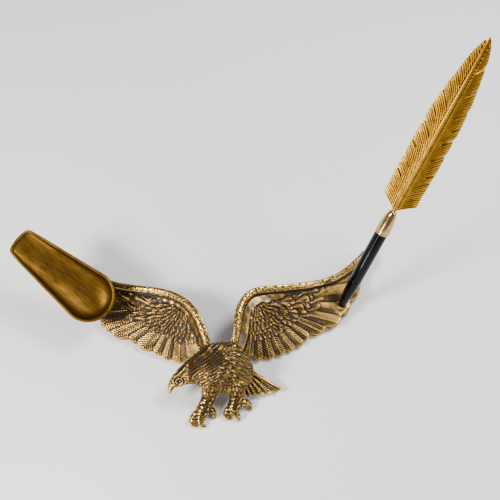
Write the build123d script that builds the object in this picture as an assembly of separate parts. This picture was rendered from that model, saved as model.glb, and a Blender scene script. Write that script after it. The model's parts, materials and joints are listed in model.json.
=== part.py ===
from build123d import *
import os
from math import atan2, cos, radians, sin

# Desk pen stand: a cast brass eagle with a scoop-shaped rest on its left wing tip
# and a quill-shaped pen standing in a socket near its right wing tip.
# Millimetres, +Z up, the tabletop is Z = 0. -Y is the front.
# Everything is drawn in the eagle's own frame, with the middle of its chest above
# the origin, and moved at the end so that the origin is the centre of the footprint.
# Left and right are as seen from the front.

# ---- eagle: body --------------------------------------------------------------
CHEST_Z = 19.0  # height of the chest's centre
RELIEF_TILT = 38.0  # the figure lies back by this angle from the tabletop, degrees
# sections of head, neck, torso and rump: x, offset up, offset out, half height, half depth
BODY_SECTIONS = (
    (-30.5, -7.0, 5.0, 3.6, 3.4),
    (-27.0, -5.0, 5.0, 6.2, 5.6),
    (-22.0, -2.2, 4.6, 7.4, 6.8),
    (-18.0, -0.6, 3.6, 8.6, 7.6),
    (-13.0, -0.2, 2.0, 11.8, 9.2),
    (-8.0, 0.2, 0.8, 15.0, 11.0),
    (0.0, 0.2, 0.0, 16.8, 12.0),
    (8.0, 0.4, 0.0, 16.2, 11.6),
    (13.5, -0.6, -0.6, 13.0, 9.6),
    (18.5, -3.2, -2.0, 8.2, 6.4),
    (21.2, -4.4, -2.8, 4.0, 3.2),
)
# beak: x, offset up, offset out, radius
BEAK_STATIONS = (
    (-28.0, -6.6, 5.0, 4.6),
    (-31.2, -9.6, 5.0, 3.3),
    (-33.0, -13.0, 5.0, 2.0),
    (-33.2, -16.4, 5.0, 0.7),
)

# ---- eagle: wings -------------------------------------------------------------
WING_THICK = 4.6  # height of the wing's wall below its upper surface
RIM_RADIUS = 2.3  # rolled bead along the leading edge
WING_ROWS, WING_COLUMNS = 13, 6  # control grid of the wing surface
SAG = 0.22  # hollow of the shell between its two edges, against its width
LEFT_LEAD = (
    (-7.0, 12.0, 22.0),
    (-11.5, 24.0, 27.5),
    (-16.0, 34.0, 29.6),
    (-24.5, 44.5, 29.3),
    (-36.0, 52.0, 26.5),
    (-57.0, 58.8, 20.6),
    (-78.0, 66.0, 14.6),
    (-91.0, 74.0, 10.8),
    (-102.0, 84.0, 8.0),
)
LEFT_TRAIL = (
    (-19.0, 11.0, 6.0),
    (-33.0, 14.5, 5.0),
    (-46.0, 19.5, 5.0),
    (-64.0, 28.5, 5.0),
    (-82.0, 39.0, 5.4),
    (-95.0, 58.0, 6.0),
    (-107.0, 80.0, 6.0),
)
# where two feather lobes of the trailing edge meet, and how far each lobe stands out
LEFT_NOTCHES = (
    (-23.0, 13.5),
    (-33.5, 14.0),
    (-40.5, 17.0),
    (-47.0, 20.5),
    (-58.5, 26.0),
    (-64.5, 30.0),
    (-77.5, 34.5),
    (-84.5, 43.5),
    (-91.0, 52.0),
    (-98.5, 67.0),
    (-105.0, 81.5),
)
RIGHT_LEAD = (
    (7.5, 12.0, 22.0),
    (11.0, 26.0, 28.2),
    (13.2, 40.0, 30.0),
    (20.5, 51.0, 29.2),
    (34.0, 56.0, 26.2),
    (55.0, 60.8, 21.0),
    (78.0, 69.5, 15.0),
    (92.0, 81.0, 11.0),
    (104.0, 95.0, 8.0),
)
RIGHT_TRAIL = (
    (19.0, 11.0, 6.0),
    (30.0, 15.0, 5.0),
    (44.0, 19.5, 5.0),
    (61.0, 31.5, 5.4),
    (82.0, 40.5, 6.6),
    (91.0, 56.0, 7.4),
    (110.0, 91.0, 6.0),
)
RIGHT_NOTCHES = (
    (22.0, 14.0),
    (29.0, 15.0),
    (37.0, 16.6),
    (44.5, 19.5),
    (51.0, 22.6),
    (57.0, 27.0),
    (61.0, 32.5),
    (73.0, 37.0),
    (84.5, 45.5),
    (90.5, 56.0),
    (98.0, 74.0),
    (107.0, 93.0),
)
LOBE_BULGE = 0.22  # rise of a lobe's arc as a share of its chord
LUG_X, LUG_Y = 8.0, 11.0  # centre of each wing's fixing lug
LUG_SIZE = (11.0, 9.0, 6.0)
LUG_TOP = 17.5

# ---- eagle: tail and legs -----------------------------------------------------
TAIL_ROOT = (12.0, 4.0, 15.5)
TAIL_LONG_TIP = (40.4, -9.0, 5.0)  # end of the long upper edge
TAIL_SHORT_TIP = (14.5, -14.4, 5.0)  # end of the lower edge, by the right leg
TAIL_THICK = 3.4
TAIL_FEATHERS = 6
# each leg: centre line from hip to foot, with radii, then its toes
LEG_RADII = (6.2, 5.6, 4.2, 4.4, 3.4)
LEFT_LEG = (
    (-4.5, -8.0, 15.0),
    (-6.5, -13.5, 12.0),
    (-9.5, -21.5, 8.6),
    (-11.5, -25.5, 6.6),
    (-12.8, -29.0, 4.8),
)
RIGHT_LEG = (
    (10.0, -7.5, 15.5),
    (11.0, -13.5, 12.0),
    (10.2, -19.6, 8.4),
    (9.4, -22.6, 6.6),
    (8.8, -25.4, 4.8),
)
TOE_RADII = (2.7, 2.3, 1.7, 0.8)
LEFT_TOES = (
    ((-13.5, -27.0, 5.0), (-17.6, -29.5, 4.4), (-18.6, -32.6, 2.4), (-15.6, -34.6, 0.9)),
    ((-12.0, -28.0, 5.2), (-13.2, -31.0, 4.6), (-12.4, -33.6, 2.6), (-9.2, -34.6, 0.9)),
    ((-10.5, -26.5, 5.2), (-6.6, -24.6, 5.0), (-4.2, -26.4, 3.0), (-4.4, -29.4, 0.9)),
)
RIGHT_TOES = (
    ((8.0, -24.0, 5.0), (4.8, -25.4, 4.4), (4.2, -28.0, 2.4), (6.8, -29.6, 0.9)),
    ((9.4, -25.0, 5.2), (10.6, -27.0, 4.6), (12.0, -29.0, 2.6), (12.9, -31.2, 0.9)),
    ((11.0, -23.0, 5.2), (15.0, -19.6, 5.4), (19.4, -20.0, 3.4), (20.2, -23.6, 0.9)),
)

# ---- scoop-shaped rest --------------------------------------------------------
SCOOP_BASE = (-76.0, 36.5, 29.0)  # rim point at the round end
SCOOP_LENGTH = 80.5
SCOOP_HEADING = 145.3  # direction the scoop points in, from +X, degrees
SCOOP_RISE = 17.6  # slope of its rim, degrees
SCOOP_ROLL = 14.0  # it leans towards the front by this angle, degrees
SCOOP_WALL = 1.8
SCOOP_WIDEST = 18.0  # distance from the round end to the widest section
SCOOP_HALF, SCOOP_DEPTH = 18.2, 15.4  # at the widest section
TIP_HALF, TIP_DEPTH = 10.2, 3.4  # at the tip
TIP_RADIUS = 30.0  # the tip is an arc of this radius
SCOOP_CORNER = 4.0  # radius of the two corners of the tip
FIX_XY = (-89.0, 57.0)  # the fixing screw under the bowl
PEDESTAL_RADIUS, PEDESTAL_HEIGHT = 5.0, 12.0
SCOOP_SEAT = 11.0  # top of the left wing's boss, where the pedestal stands
WING_BOSS_RADIUS = 6.5

# ---- pen ----------------------------------------------------------------------
FOOT = (84.4, 51.4, 9.4)  # the pen's axis meets the wing here
PEN_LEAN = 28.0  # from vertical, degrees
PEN_AZIMUTH = 45.3  # it leans back and to the right, from +X, degrees
SOCKET_DEPTH = 7.6
SOCKET_RADIUS = 3.3
SOCKET_FLOOR = 0.8
COLLAR_RADIUS, COLLAR_HEIGHT = 3.9, 0.7
PEN_TIP_RADIUS = 2.4
RUNNING = 0.05  # radial running clearance
NOSE_TOP = 26.0
BARREL_TOP = 69.5
BARREL_RADIUS = 4.4
FERRULE_TOP = 88.0
FEATHER_TOP = 219.0
FEATHER_HALF_WIDTH = 12.0
VANE_THICK = 1.4
VANE_DIHEDRAL = 9.0  # each half of the vane folds back by this angle, degrees
CONNECTOR_RADIUS = 3.0
REFILL_RADIUS = 1.15
CONNECTOR_REACH = 7.0  # how far it goes into the nose, and into the barrel
REFILL_GAP = 0.1
REFILL_JOINT, REFILL_TOP = 3.0, 56.0
POINT_HOLE = 0.7  # radius of the hole the point comes through
NOSE_REACH = 6.2  # how far the nose goes below the wing's surface
INSERT_RADIUS, INSERT_DEPTH = 2.4, 9.5
STUD_RADIUS, STUD_LENGTH = 1.6, 8.0
TANG_RADIUS, TANG_LENGTH = 1.2, 8.0
# radius and height over the barrel
FERRULE_OUTLINE = ((4.9, 0), (4.9, 3), (4.7, 7), (4.2, 11), (3.35, 15), (2.1, 18.5))

# ---- fasteners ----------------------------------------------------------------
SCREW_RADIUS, SCREW_HEAD_RADIUS, SCREW_HEAD = 2.0, 3.5, 2.0
LEG_STUD_RADIUS, LEG_STUD_HALF = 1.5, 5.0
WASHER_RADIUS, WASHER_THICK = 3.4, 0.8
FIT = 0.05  # radial gap around screws and studs


def on_relief(x, up, out):
    """A point of the tilted figure: up runs over its height, out towards the viewer."""
    tilt = radians(RELIEF_TILT)
    return Vector(x, up * cos(tilt) - out * sin(tilt), CHEST_Z + up * sin(tilt) + out * cos(tilt))


def rod(start, end, radius):
    """A round bar between two points."""
    start, end = Vector(start), Vector(end)
    plane = Plane(origin=start, z_dir=end - start)
    return plane * Cylinder(radius, (end - start).length, align=(Align.CENTER, Align.CENTER, Align.MIN))


def tapered(points, radii):
    """A smooth round limb through the points, square to its path at each one."""
    path = Spline(*[Vector(p) for p in points])
    share = 1.0 / (len(points) - 1)
    sections = []
    for i, (point, radius) in enumerate(zip(points, radii)):
        plane = Plane(origin=point, z_dir=path % (i * share))
        sections.append(plane * Circle(radius))
    return loft(sections)


def halfspace_above_table():
    return Pos(0, 0, 150) * Box(600, 600, 300)


def wing_outline(lead, notches):
    """The wing seen from above: a smooth leading edge and a lobed trailing edge."""
    front = [Vector(x, y, -10) for x, y, z in lead]
    back = [Vector(x, y, -10) for x, y in notches]
    edges = [Spline(*front), Line(front[-1], back[-1])]
    centre = (front[3] + back[3]) * 0.5
    for a, b in zip(back, back[1:]):
        chord = b - a
        side = Vector(-chord.Y, chord.X, 0).normalized()
        middle = (a + b) * 0.5
        if side.dot(middle - centre) < 0:
            side = side * -1
        edges.append(ThreePointArc(a, middle + side * (LOBE_BULGE * chord.length), b))
    edges.append(Line(back[0], front[0]))
    return make_face(Wire(edges))


def wing_shell(lead, trail):
    """A curved sheet between the two edges, hollowed between them and given its wall."""
    front, back = Spline(*lead), Spline(*trail)
    rows = []
    for i in range(WING_ROWS):
        share = i / (WING_ROWS - 1)
        a, b = front @ share, back @ share
        row = []
        for j in range(WING_COLUMNS):
            t = -0.08 + 1.3 * j / (WING_COLUMNS - 1)
            hollow = SAG * (b - a).length * max(t, 0) * max(1 - t, 0)
            row.append(a + (b - a) * t - Vector(0, 0, hollow))
        rows.append(row)
    return extrude(Face.make_surface_from_array_of_points(rows), WING_THICK, dir=(0, 0, -1))


def wing(lead, trail, notches, side):
    """One wing casting: shell, leading-edge bead and the lug that the body screws to."""
    outline = extrude(wing_outline(lead, notches), 60)
    blank = wing_shell(lead, trail) & outline
    path = Spline(*[Vector(p) for p in lead])
    bead = sweep(Plane(origin=lead[0], z_dir=path % 0) * Circle(RIM_RADIUS), path=path)
    lug = Pos(side * LUG_X, LUG_Y, LUG_TOP - LUG_SIZE[2] / 2) * Box(*LUG_SIZE)
    return blank + bead + lug


def pedestal_boss(x, y, radius, top):
    return Pos(x, y, 0) * Cylinder(radius, top, align=(Align.CENTER, Align.CENTER, Align.MIN))


def body_blank():
    """Head, neck, torso and rump in one sweep of ellipses, with the hooked beak."""
    sections = []
    upward = on_relief(0, 1, 0) - on_relief(0, 0, 0)
    for x, up, out, height, depth in BODY_SECTIONS:
        plane = Plane(origin=on_relief(x, up, out), x_dir=upward, z_dir=(1, 0, 0))
        sections.append(plane * Ellipse(height, depth))
    beak = tapered([on_relief(x, up, out) for x, up, out, r in BEAK_STATIONS], [s[3] for s in BEAK_STATIONS])
    return loft(sections) + beak


def tail_plane():
    root, long_tip, short_tip = Vector(TAIL_ROOT), Vector(TAIL_LONG_TIP), Vector(TAIL_SHORT_TIP)
    across = long_tip - root
    normal = across.cross(short_tip - root)
    if normal.Z < 0:
        normal = normal * -1
    return Plane(origin=root, x_dir=across, z_dir=normal)


def tail_fan():
    """A flat fan of feathers with a round-ended lobe for each, and its root tongue."""
    plane = tail_plane()
    long_end = plane.to_local_coords(Vector(TAIL_LONG_TIP))
    short_end = plane.to_local_coords(Vector(TAIL_SHORT_TIP))
    last_angle = atan2(short_end.Y, short_end.X)
    long_reach, short_reach = long_end.length, short_end.length
    ends = []
    for i in range(TAIL_FEATHERS + 1):
        share = i / TAIL_FEATHERS
        reach = long_reach + (short_reach - long_reach) * (1 - (1 - share) ** 2)
        ends.append(Vector(reach * cos(last_angle * share), reach * sin(last_angle * share), 0))
    edges = [Line((-5, 2, 0), ends[0])]
    for a, b in zip(ends, ends[1:]):
        middle = (a + b) * 0.5
        edges.append(ThreePointArc(a, middle + middle.normalized() * (0.25 * (b - a).length), b))
    edges += [Line(ends[-1], (-5, -6, 0)), Line((-5, -6, 0), (-5, 2, 0))]
    return plane * Pos(0, 0, -TAIL_THICK) * extrude(make_face(Wire(edges)), TAIL_THICK)


def leg(line, toes):
    """Thigh, shank and foot with three hooked toes, ground flat where it stands."""
    solid = tapered(line, LEG_RADII)
    solid += Pos(*line[-1]) * Sphere(LEG_RADII[-1])
    for toe in toes:
        solid += tapered(toe, TOE_RADII)
    return solid & halfspace_above_table()


def leg_stud(line, grow=0.0):
    """A threaded stud along the thigh that holds the leg to the body."""
    hip, knee = Vector(line[0]), Vector(line[1])
    along = (hip - knee).normalized()
    middle = hip + along * 2.0
    reach = along * (LEG_STUD_HALF + grow)
    return rod(middle - reach, middle + reach, LEG_STUD_RADIUS + grow)


def screw(x, y, seat, top):
    """A pan-head screw that points up, its head below the seat."""
    head = Pos(x, y, seat - SCREW_HEAD) * Cylinder(
        SCREW_HEAD_RADIUS, SCREW_HEAD, align=(Align.CENTER, Align.CENTER, Align.MIN)
    )
    slot = Pos(x, y, seat - SCREW_HEAD) * Box(2 * SCREW_HEAD_RADIUS + 1, 1.0, 1.6)
    return head - slot + rod((x, y, seat), (x, y, top), SCREW_RADIUS)


def screw_hole(x, y, seat, top):
    """Clearance for the shank above the seat and for the head below it."""
    shank = rod((x, y, seat - 1), (x, y, top + 0.5), SCREW_RADIUS + FIT)
    return shank + rod((x, y, -20), (x, y, seat), SCREW_HEAD_RADIUS + 0.3)


def scoop_frame():
    """X along the scoop from the round end, Y across it, Z out of its hollow."""
    heading, rise, roll = radians(SCOOP_HEADING), radians(SCOOP_RISE), radians(SCOOP_ROLL)
    along = Vector(cos(heading) * cos(rise), sin(heading) * cos(rise), sin(rise))
    upright = Vector(-cos(heading) * sin(rise), -sin(heading) * sin(rise), cos(rise))
    across = Vector(-sin(heading), cos(heading), 0)
    normal = upright * cos(roll) + across * sin(roll)
    return Plane(origin=SCOOP_BASE, x_dir=along, z_dir=normal)


def trough(inset):
    """A half-elliptic trough, round at one end and tapered to the open tip, flat on top."""
    round_run = SCOOP_WIDEST - inset
    sections = []
    for i in range(1, 8):
        turn = radians(90 * i / 7)
        sections.append((SCOOP_WIDEST - round_run * cos(turn), sin(turn), sin(turn) ** 0.85, 0.0))
    sections.append((SCOOP_LENGTH + inset, 1.0, 1.0, 1.0))
    faces = []
    for x, fullness, sink, taper in sections:
        half = (SCOOP_HALF + (TIP_HALF - SCOOP_HALF) * taper - inset) * fullness
        depth = (SCOOP_DEPTH + (TIP_DEPTH - SCOOP_DEPTH) * taper - inset) * sink
        arc = EllipticalCenterArc((0, 0), half, depth, start_angle=180, arc_size=180)
        face = make_face(Wire([arc, Line(arc @ 1, arc @ 0)]))
        faces.append(Plane(origin=(x, 0, 0), x_dir=(0, 1, 0), z_dir=(1, 0, 0)) * face)
    return loft(faces, ruled=True)


def scoop_reach():
    """What stays of the trough, seen from above: an arched tip with two rounded corners."""
    side = 2 * TIP_HALF + 1.5
    rounded = Pos(SCOOP_LENGTH - side / 2, 0, 0) * RectangleRounded(side, side, SCOOP_CORNER)
    arched = Pos(SCOOP_LENGTH - TIP_RADIUS, 0, 0) * Circle(TIP_RADIUS)
    bowl = Pos(SCOOP_LENGTH / 2 - TIP_HALF, 0, 0) * Rectangle(SCOOP_LENGTH, 4 * SCOOP_HALF)
    return Pos(0, 0, -SCOOP_LENGTH / 2) * extrude(rounded & arched, SCOOP_LENGTH) + Pos(
        0, 0, -SCOOP_LENGTH / 2
    ) * extrude(bowl, SCOOP_LENGTH)


def scoop():
    """The scoop with its pedestal, which stands on the left wing."""
    frame = scoop_frame()
    x, y = FIX_XY
    pedestal = rod((x, y, SCOOP_SEAT), (x, y, SCOOP_SEAT + PEDESTAL_HEIGHT), PEDESTAL_RADIUS)
    return ((frame * trough(0) + pedestal) - frame * trough(SCOOP_WALL)) & (frame * scoop_reach())


def pen_plane():
    lean, azimuth = radians(PEN_LEAN), radians(PEN_AZIMUTH)
    axis = Vector(sin(lean) * cos(azimuth), sin(lean) * sin(azimuth), cos(lean))
    across = axis.cross(Vector(0.33, 0.836, -0.44)).normalized()
    if across.X < 0:
        across = across * -1
    return Plane(origin=FOOT, x_dir=across, z_dir=axis)


def turned(profile):
    """A body of revolution about the pen's axis from (radius, height) points."""
    outline = Polyline(*[(r, 0, z) for r, z in profile], close=True)
    return pen_plane() * revolve(make_face(outline), Axis.Z)


def pen_socket():
    """A cup with a thin collar, pressed into the right wing."""
    bore = PEN_TIP_RADIUS + RUNNING
    floor, rim = -SOCKET_DEPTH, COLLAR_HEIGHT
    return turned([
        (0, floor - SOCKET_FLOOR), (SOCKET_RADIUS, floor - SOCKET_FLOOR), (SOCKET_RADIUS, 0),
        (COLLAR_RADIUS, 0), (COLLAR_RADIUS, rim), (bore, rim), (bore, floor), (0, floor),
    ])


def nose_section():
    """The pen's lower shell: it narrows to a tip and takes the connector in its top."""
    bore = REFILL_RADIUS + REFILL_GAP
    seat = CONNECTOR_RADIUS + RUNNING
    seat_floor = NOSE_TOP - CONNECTOR_REACH
    return turned([
        (POINT_HOLE, -NOSE_REACH), (POINT_HOLE + 0.6, -NOSE_REACH), (PEN_TIP_RADIUS, 1.6 - NOSE_REACH),
        (PEN_TIP_RADIUS, 0.8), (3.6, 12.0), (BARREL_RADIUS, NOSE_TOP), (seat, NOSE_TOP),
        (seat, seat_floor), (bore, seat_floor), (bore, 2.0 - NOSE_REACH), (POINT_HOLE, 2.0 - NOSE_REACH),
    ])


def refill_point():
    """The writing point, with the ball's end just out of the nose."""
    return turned([
        (0, -7.3), (0.35, -7.3), (0.6, -6.4), (0.6, -4.0),
        (REFILL_RADIUS, -3.4), (REFILL_RADIUS, REFILL_JOINT), (0, REFILL_JOINT),
    ])


def refill_tube():
    start, end = REFILL_JOINT, REFILL_TOP
    return turned([(0, start), (REFILL_RADIUS, start), (REFILL_RADIUS, end), (0, end)])


def thread_connector():
    """The sleeve that joins nose and barrel."""
    bore = REFILL_RADIUS + REFILL_GAP
    start, end = NOSE_TOP - CONNECTOR_REACH + 0.2, NOSE_TOP + CONNECTOR_REACH
    return turned([(bore, start), (CONNECTOR_RADIUS, start), (CONNECTOR_RADIUS, end), (bore, end)])


def barrel():
    seat = CONNECTOR_RADIUS + RUNNING
    start, step = NOSE_TOP + 0.1, NOSE_TOP + CONNECTOR_REACH + 0.3
    return turned([
        (seat, start), (BARREL_RADIUS, start), (BARREL_RADIUS, BARREL_TOP),
        (INSERT_RADIUS, BARREL_TOP), (INSERT_RADIUS, step), (seat, step),
    ])


def barrel_insert():
    """A plug in the barrel's top, with the stud that the ferrule screws onto."""
    start, end = BARREL_TOP - INSERT_DEPTH, BARREL_TOP + STUD_LENGTH
    return turned([
        (0, start), (INSERT_RADIUS, start), (INSERT_RADIUS, BARREL_TOP),
        (STUD_RADIUS, BARREL_TOP), (STUD_RADIUS, end), (0, end),
    ])


def ferrule():
    """The bullet-shaped cap between barrel and feather."""
    outside = [(radius, BARREL_TOP + height) for radius, height in FERRULE_OUTLINE]
    return turned([(STUD_RADIUS, BARREL_TOP)] + outside + [
        (TANG_RADIUS, FERRULE_TOP), (TANG_RADIUS, FERRULE_TOP - TANG_LENGTH),
        (STUD_RADIUS, BARREL_TOP + STUD_LENGTH + 1),
    ])


def vane_half(side):
    """One half of the feather's vane, folded back a little about the quill."""
    start, end = FERRULE_TOP, FEATHER_TOP
    w = FEATHER_HALF_WIDTH * side
    edge = Spline(
        (w, start + 9), (1.02 * w, start + 50), (0.88 * w, start + 88), (0.48 * w, start + 118), (0, end)
    )
    edges = [Line((0, start), edge @ 0), edge, Line((0, end), (0, start))]
    face = Plane.XZ * make_face(Wire(edges))
    half = extrude(face, VANE_THICK / 2, both=True)
    return Rot(0, 0, side * VANE_DIHEDRAL) * half


def feather():
    """Vane, quill and the tang that fixes it in the ferrule, cast in one."""
    length = FEATHER_TOP - FERRULE_TOP
    standing = (Align.CENTER, Align.CENTER, Align.MIN)
    quill = Pos(0, 0, FERRULE_TOP) * Cone(1.5, 0.5, length, align=standing)
    tang = Pos(0, 0, FERRULE_TOP - TANG_LENGTH + 0.5) * Cylinder(TANG_RADIUS, TANG_LENGTH + 1, align=standing)
    return pen_plane() * (vane_half(1) + vane_half(-1) + quill + tang)


def socket_boss():
    """Thickening of the right wing down to the table, for the pen's socket."""
    outline = extrude(wing_outline(RIGHT_LEAD, RIGHT_NOTCHES), 60)
    return pedestal_boss(FOOT[0], FOOT[1], 8.0, FOOT[2] - 1.2) & outline


def castings():
    """The eagle's castings, each cut to seat its neighbours."""
    x, y = FIX_XY
    left = wing(LEFT_LEAD, LEFT_TRAIL, LEFT_NOTCHES, -1) + pedestal_boss(x, y, WING_BOSS_RADIUS, SCOOP_SEAT)
    right = wing(RIGHT_LEAD, RIGHT_TRAIL, RIGHT_NOTCHES, 1) + socket_boss()
    table = halfspace_above_table()
    left, right = left & table, right & table
    tail = tail_fan()
    legs = [leg(LEFT_LEG, LEFT_TOES), leg(RIGHT_LEG, RIGHT_TOES)]
    body = body_blank() - left - right
    right = right - tail
    legs[1] = legs[1] - tail
    body = body - tail - legs[0] - legs[1]
    return body, left, right, tail, legs


def fixings():
    """Seat height and thread end of each screw, by name."""
    lug_seat = LUG_TOP - LUG_SIZE[2] + SCREW_HEAD + 0.4
    return {
        "wing_left": (-LUG_X, LUG_Y, lug_seat, 26.0),
        "wing_right": (LUG_X, LUG_Y, lug_seat, 26.0),
        "scoop": (FIX_XY[0], FIX_XY[1], 4.6, SCOOP_SEAT + 6.0),
    }


def main():
    body, left, right, tail, legs = castings()
    spots = fixings()
    for spot in ("wing_left", "wing_right"):
        hole = screw_hole(*spots[spot])
        body, left, right = body - hole, left - hole, right - hole
    studs = [leg_stud(LEFT_LEG), leg_stud(RIGHT_LEG)]
    for line in (LEFT_LEG, RIGHT_LEG):
        hole = leg_stud(line, FIT)
        body, legs = body - hole, [one - hole for one in legs]
    x, y, seat, top = spots["scoop"]
    scoop_hole = screw_hole(x, y, seat, top)
    socket_hole = turned([
        (0, -20), (SOCKET_RADIUS, -20), (SOCKET_RADIUS, 0), (COLLAR_RADIUS, 0), (COLLAR_RADIUS, 20), (0, 20),
    ])
    socket = pen_socket() & halfspace_above_table()
    under = seat - WASHER_THICK
    washer = rod((x, y, under), (x, y, seat), WASHER_RADIUS) - rod((x, y, 0), (x, y, top), SCREW_RADIUS + FIT)
    nodes = {
        "eagle_body": body,
        "left_wing": left - scoop_hole,
        "right_wing": right - socket_hole,
        "tail_fan": tail,
        "left_leg": legs[0],
        "right_leg": legs[1],
        "wing_screws": Compound([screw(*spots["wing_left"]), screw(*spots["wing_right"])]),
        "leg_studs": Compound(studs),
        "scoop": scoop() - scoop_hole,
        "scoop_washer": washer,
        "scoop_screw": screw(x, y, under, top),
        "pen_socket": socket,
        "nose_section": nose_section(),
        "refill_point": refill_point(),
        "refill_tube": refill_tube(),
        "thread_connector": thread_connector(),
        "barrel": barrel(),
        "barrel_insert": barrel_insert(),
        "ferrule": ferrule(),
        "feather": feather(),
    }
    return nodes


def write(nodes):
    """Moves the footprint's centre to the origin and writes one STEP per node."""
    os.makedirs("parts", exist_ok=True)
    boxes = [shape.bounding_box() for shape in nodes.values()]
    low_x, high_x = min(box.min.X for box in boxes), max(box.max.X for box in boxes)
    low_y, high_y = min(box.min.Y for box in boxes), max(box.max.Y for box in boxes)
    shift = Pos(-(low_x + high_x) / 2, -(low_y + high_y) / 2, 0)
    for name, shape in nodes.items():
        export_step(shift * shape, f"parts/{name}.step")
    return shift


SHIFT = write(main())
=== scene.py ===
import bmesh
import bpy
import json
import numpy as np
from math import cos, pi, radians, sin
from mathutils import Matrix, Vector


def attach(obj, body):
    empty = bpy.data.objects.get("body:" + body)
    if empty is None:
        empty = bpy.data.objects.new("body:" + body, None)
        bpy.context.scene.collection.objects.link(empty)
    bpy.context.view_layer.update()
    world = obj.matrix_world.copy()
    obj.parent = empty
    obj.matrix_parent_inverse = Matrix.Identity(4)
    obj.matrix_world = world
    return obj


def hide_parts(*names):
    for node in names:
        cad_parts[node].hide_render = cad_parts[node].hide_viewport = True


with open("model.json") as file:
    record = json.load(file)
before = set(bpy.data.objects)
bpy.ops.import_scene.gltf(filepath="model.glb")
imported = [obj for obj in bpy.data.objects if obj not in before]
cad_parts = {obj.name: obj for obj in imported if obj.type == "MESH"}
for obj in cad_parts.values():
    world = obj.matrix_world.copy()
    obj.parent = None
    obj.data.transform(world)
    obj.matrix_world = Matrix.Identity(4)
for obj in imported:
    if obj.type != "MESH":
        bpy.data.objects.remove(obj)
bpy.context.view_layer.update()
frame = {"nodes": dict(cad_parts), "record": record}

# Brass eagle desk pen stand. Shapes are worked out in millimetres and stored in metres.
# Left and right are as seen from the front.
MM = 0.001
RECORD = frame["record"]


def joint(name):
    return next(j for j in RECORD["behaviour"]["joints"] if j["name"] == name)


# ---- places taken from the frame ----------------------------------------------
FOOT = np.array(joint("barrel_turn")["pos_m"]) / MM  # the pen's axis meets the wing here
PEN_AXIS = np.array(joint("pen_lift")["axis"])
CHEST = FOOT - (84.4, 51.4, 9.4)  # the tabletop point below the eagle's chest
CHEST_Z, RELIEF_TILT = 19.0, radians(38.0)  # the figure lies back by this tilt
FACE_TILT = radians(60.0)  # the wings' relief is laid out as seen from this height angle
FACE_LEAN = radians(30.0)  # which is this far from upright


# ---- mesh helpers -------------------------------------------------------------
def link(obj):
    bpy.context.scene.collection.objects.link(obj)
    return obj


def from_arrays(name, points, faces):
    """A smooth mesh object from points in millimetres."""
    mesh = bpy.data.meshes.new(name)
    mesh.from_pydata((np.asarray(points) * MM).tolist(), [], faces)
    solid = bmesh.new()
    solid.from_mesh(mesh)
    bmesh.ops.recalc_face_normals(solid, faces=solid.faces)
    solid.to_mesh(mesh)
    solid.free()
    mesh.update()
    mesh.shade_smooth()
    return link(bpy.data.objects.new(name, mesh))


def place(obj, axes, origin):
    """Moves a mesh made in its own axes to its place, and keeps its own coordinates for its material."""
    own = points_of(obj)
    layer = obj.data.attributes.new("own", "FLOAT_VECTOR", "POINT")
    layer.data.foreach_set("vector", (own * MM).ravel())
    move_to(obj, own @ np.array(axes) + origin)
    return obj


def settle(obj):
    """Applies the object's modifiers to its mesh."""
    depsgraph = bpy.context.evaluated_depsgraph_get()
    mesh = bpy.data.meshes.new_from_object(obj.evaluated_get(depsgraph))
    obj.modifiers.clear()
    obj.data = mesh
    mesh.shade_smooth()


def casting(name, node, voxel, smoothing=4):
    """A copy of a CAD casting with an even, slightly rounded skin, ready for relief."""
    obj = link(bpy.data.objects.new(name, frame["nodes"][node].data.copy()))
    obj.data.materials.clear()
    even = obj.modifiers.new("even", "REMESH")
    even.mode, even.voxel_size = "VOXEL", voxel * MM
    soft = obj.modifiers.new("soft", "SMOOTH")
    soft.factor, soft.iterations = 0.5, smoothing
    settle(obj)
    return obj


def points_of(obj):
    flat = np.empty(3 * len(obj.data.vertices))
    obj.data.vertices.foreach_get("co", flat)
    return flat.reshape(-1, 3) / MM


def normals_of(obj):
    flat = np.empty(3 * len(obj.data.vertices))
    obj.data.vertices.foreach_get("normal", flat)
    return flat.reshape(-1, 3)


def move_to(obj, points):
    obj.data.vertices.foreach_set("co", (points * MM).ravel())
    obj.data.update()


def neighbour_mean(points, edges, rounds):
    """Points after a number of rounds of averaging with their neighbours."""
    count = len(points)
    degree = np.bincount(edges.ravel(), minlength=count).clip(1)
    current = points.copy()
    for _ in range(rounds):
        total = np.empty_like(current)
        for axis in range(3):
            column = current[:, axis]
            total[:, axis] = np.bincount(edges[:, 0], column[edges[:, 1]], count)
            total[:, axis] += np.bincount(edges[:, 1], column[edges[:, 0]], count)
        current = 0.4 * current + 0.6 * total / degree[:, None]
    return current


def mark_relief(obj, fine=7.2, broad=2.4, painted_sheen=None):
    """Stores how far each point stands out of its surroundings, for the patina; a painted sheen, where given,
    is added on top of it.
    """
    points, normals = points_of(obj), normals_of(obj)
    edges = np.empty(2 * len(obj.data.edges), dtype=np.int64)
    obj.data.edges.foreach_get("vertices", edges)
    edges = edges.reshape(-1, 2)
    near = neighbour_mean(points, edges, 3)
    far = neighbour_mean(near, edges, 45)
    relief = 0.5 + fine * ((points - near) * normals).sum(1) + broad * ((near - far) * normals).sum(1)
    layer = obj.data.attributes.new("relief", "FLOAT", "POINT")
    relief = np.clip(relief, 0, 0.86)
    # a painted sheen: lifts the value above the patina's range, into the pale grey at the top of the brass
    # colours
    if painted_sheen is not None:
        relief += 0.5 * painted_sheen
    layer.data.foreach_set("value", relief.astype(np.float32))


def bell(distance, width):
    """1 at no distance, falling to nothing over about this width."""
    return np.exp(-((distance / width) ** 2))


def smoothstep(value, low, high):
    t = np.clip((value - low) / (high - low), 0, 1)
    return t * t * (3 - 2 * t)


def segment_distance(a, b, p, q):
    """Distance in the plane from points (a, b) to the segment p-q, and the share along it."""
    direction = np.subtract(q, p)
    share = ((a - p[0]) * direction[0] + (b - p[1]) * direction[1]) / (direction @ direction)
    share = np.clip(share, 0, 1)
    return np.hypot(a - p[0] - share * direction[0], b - p[1] - share * direction[1]), share


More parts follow.
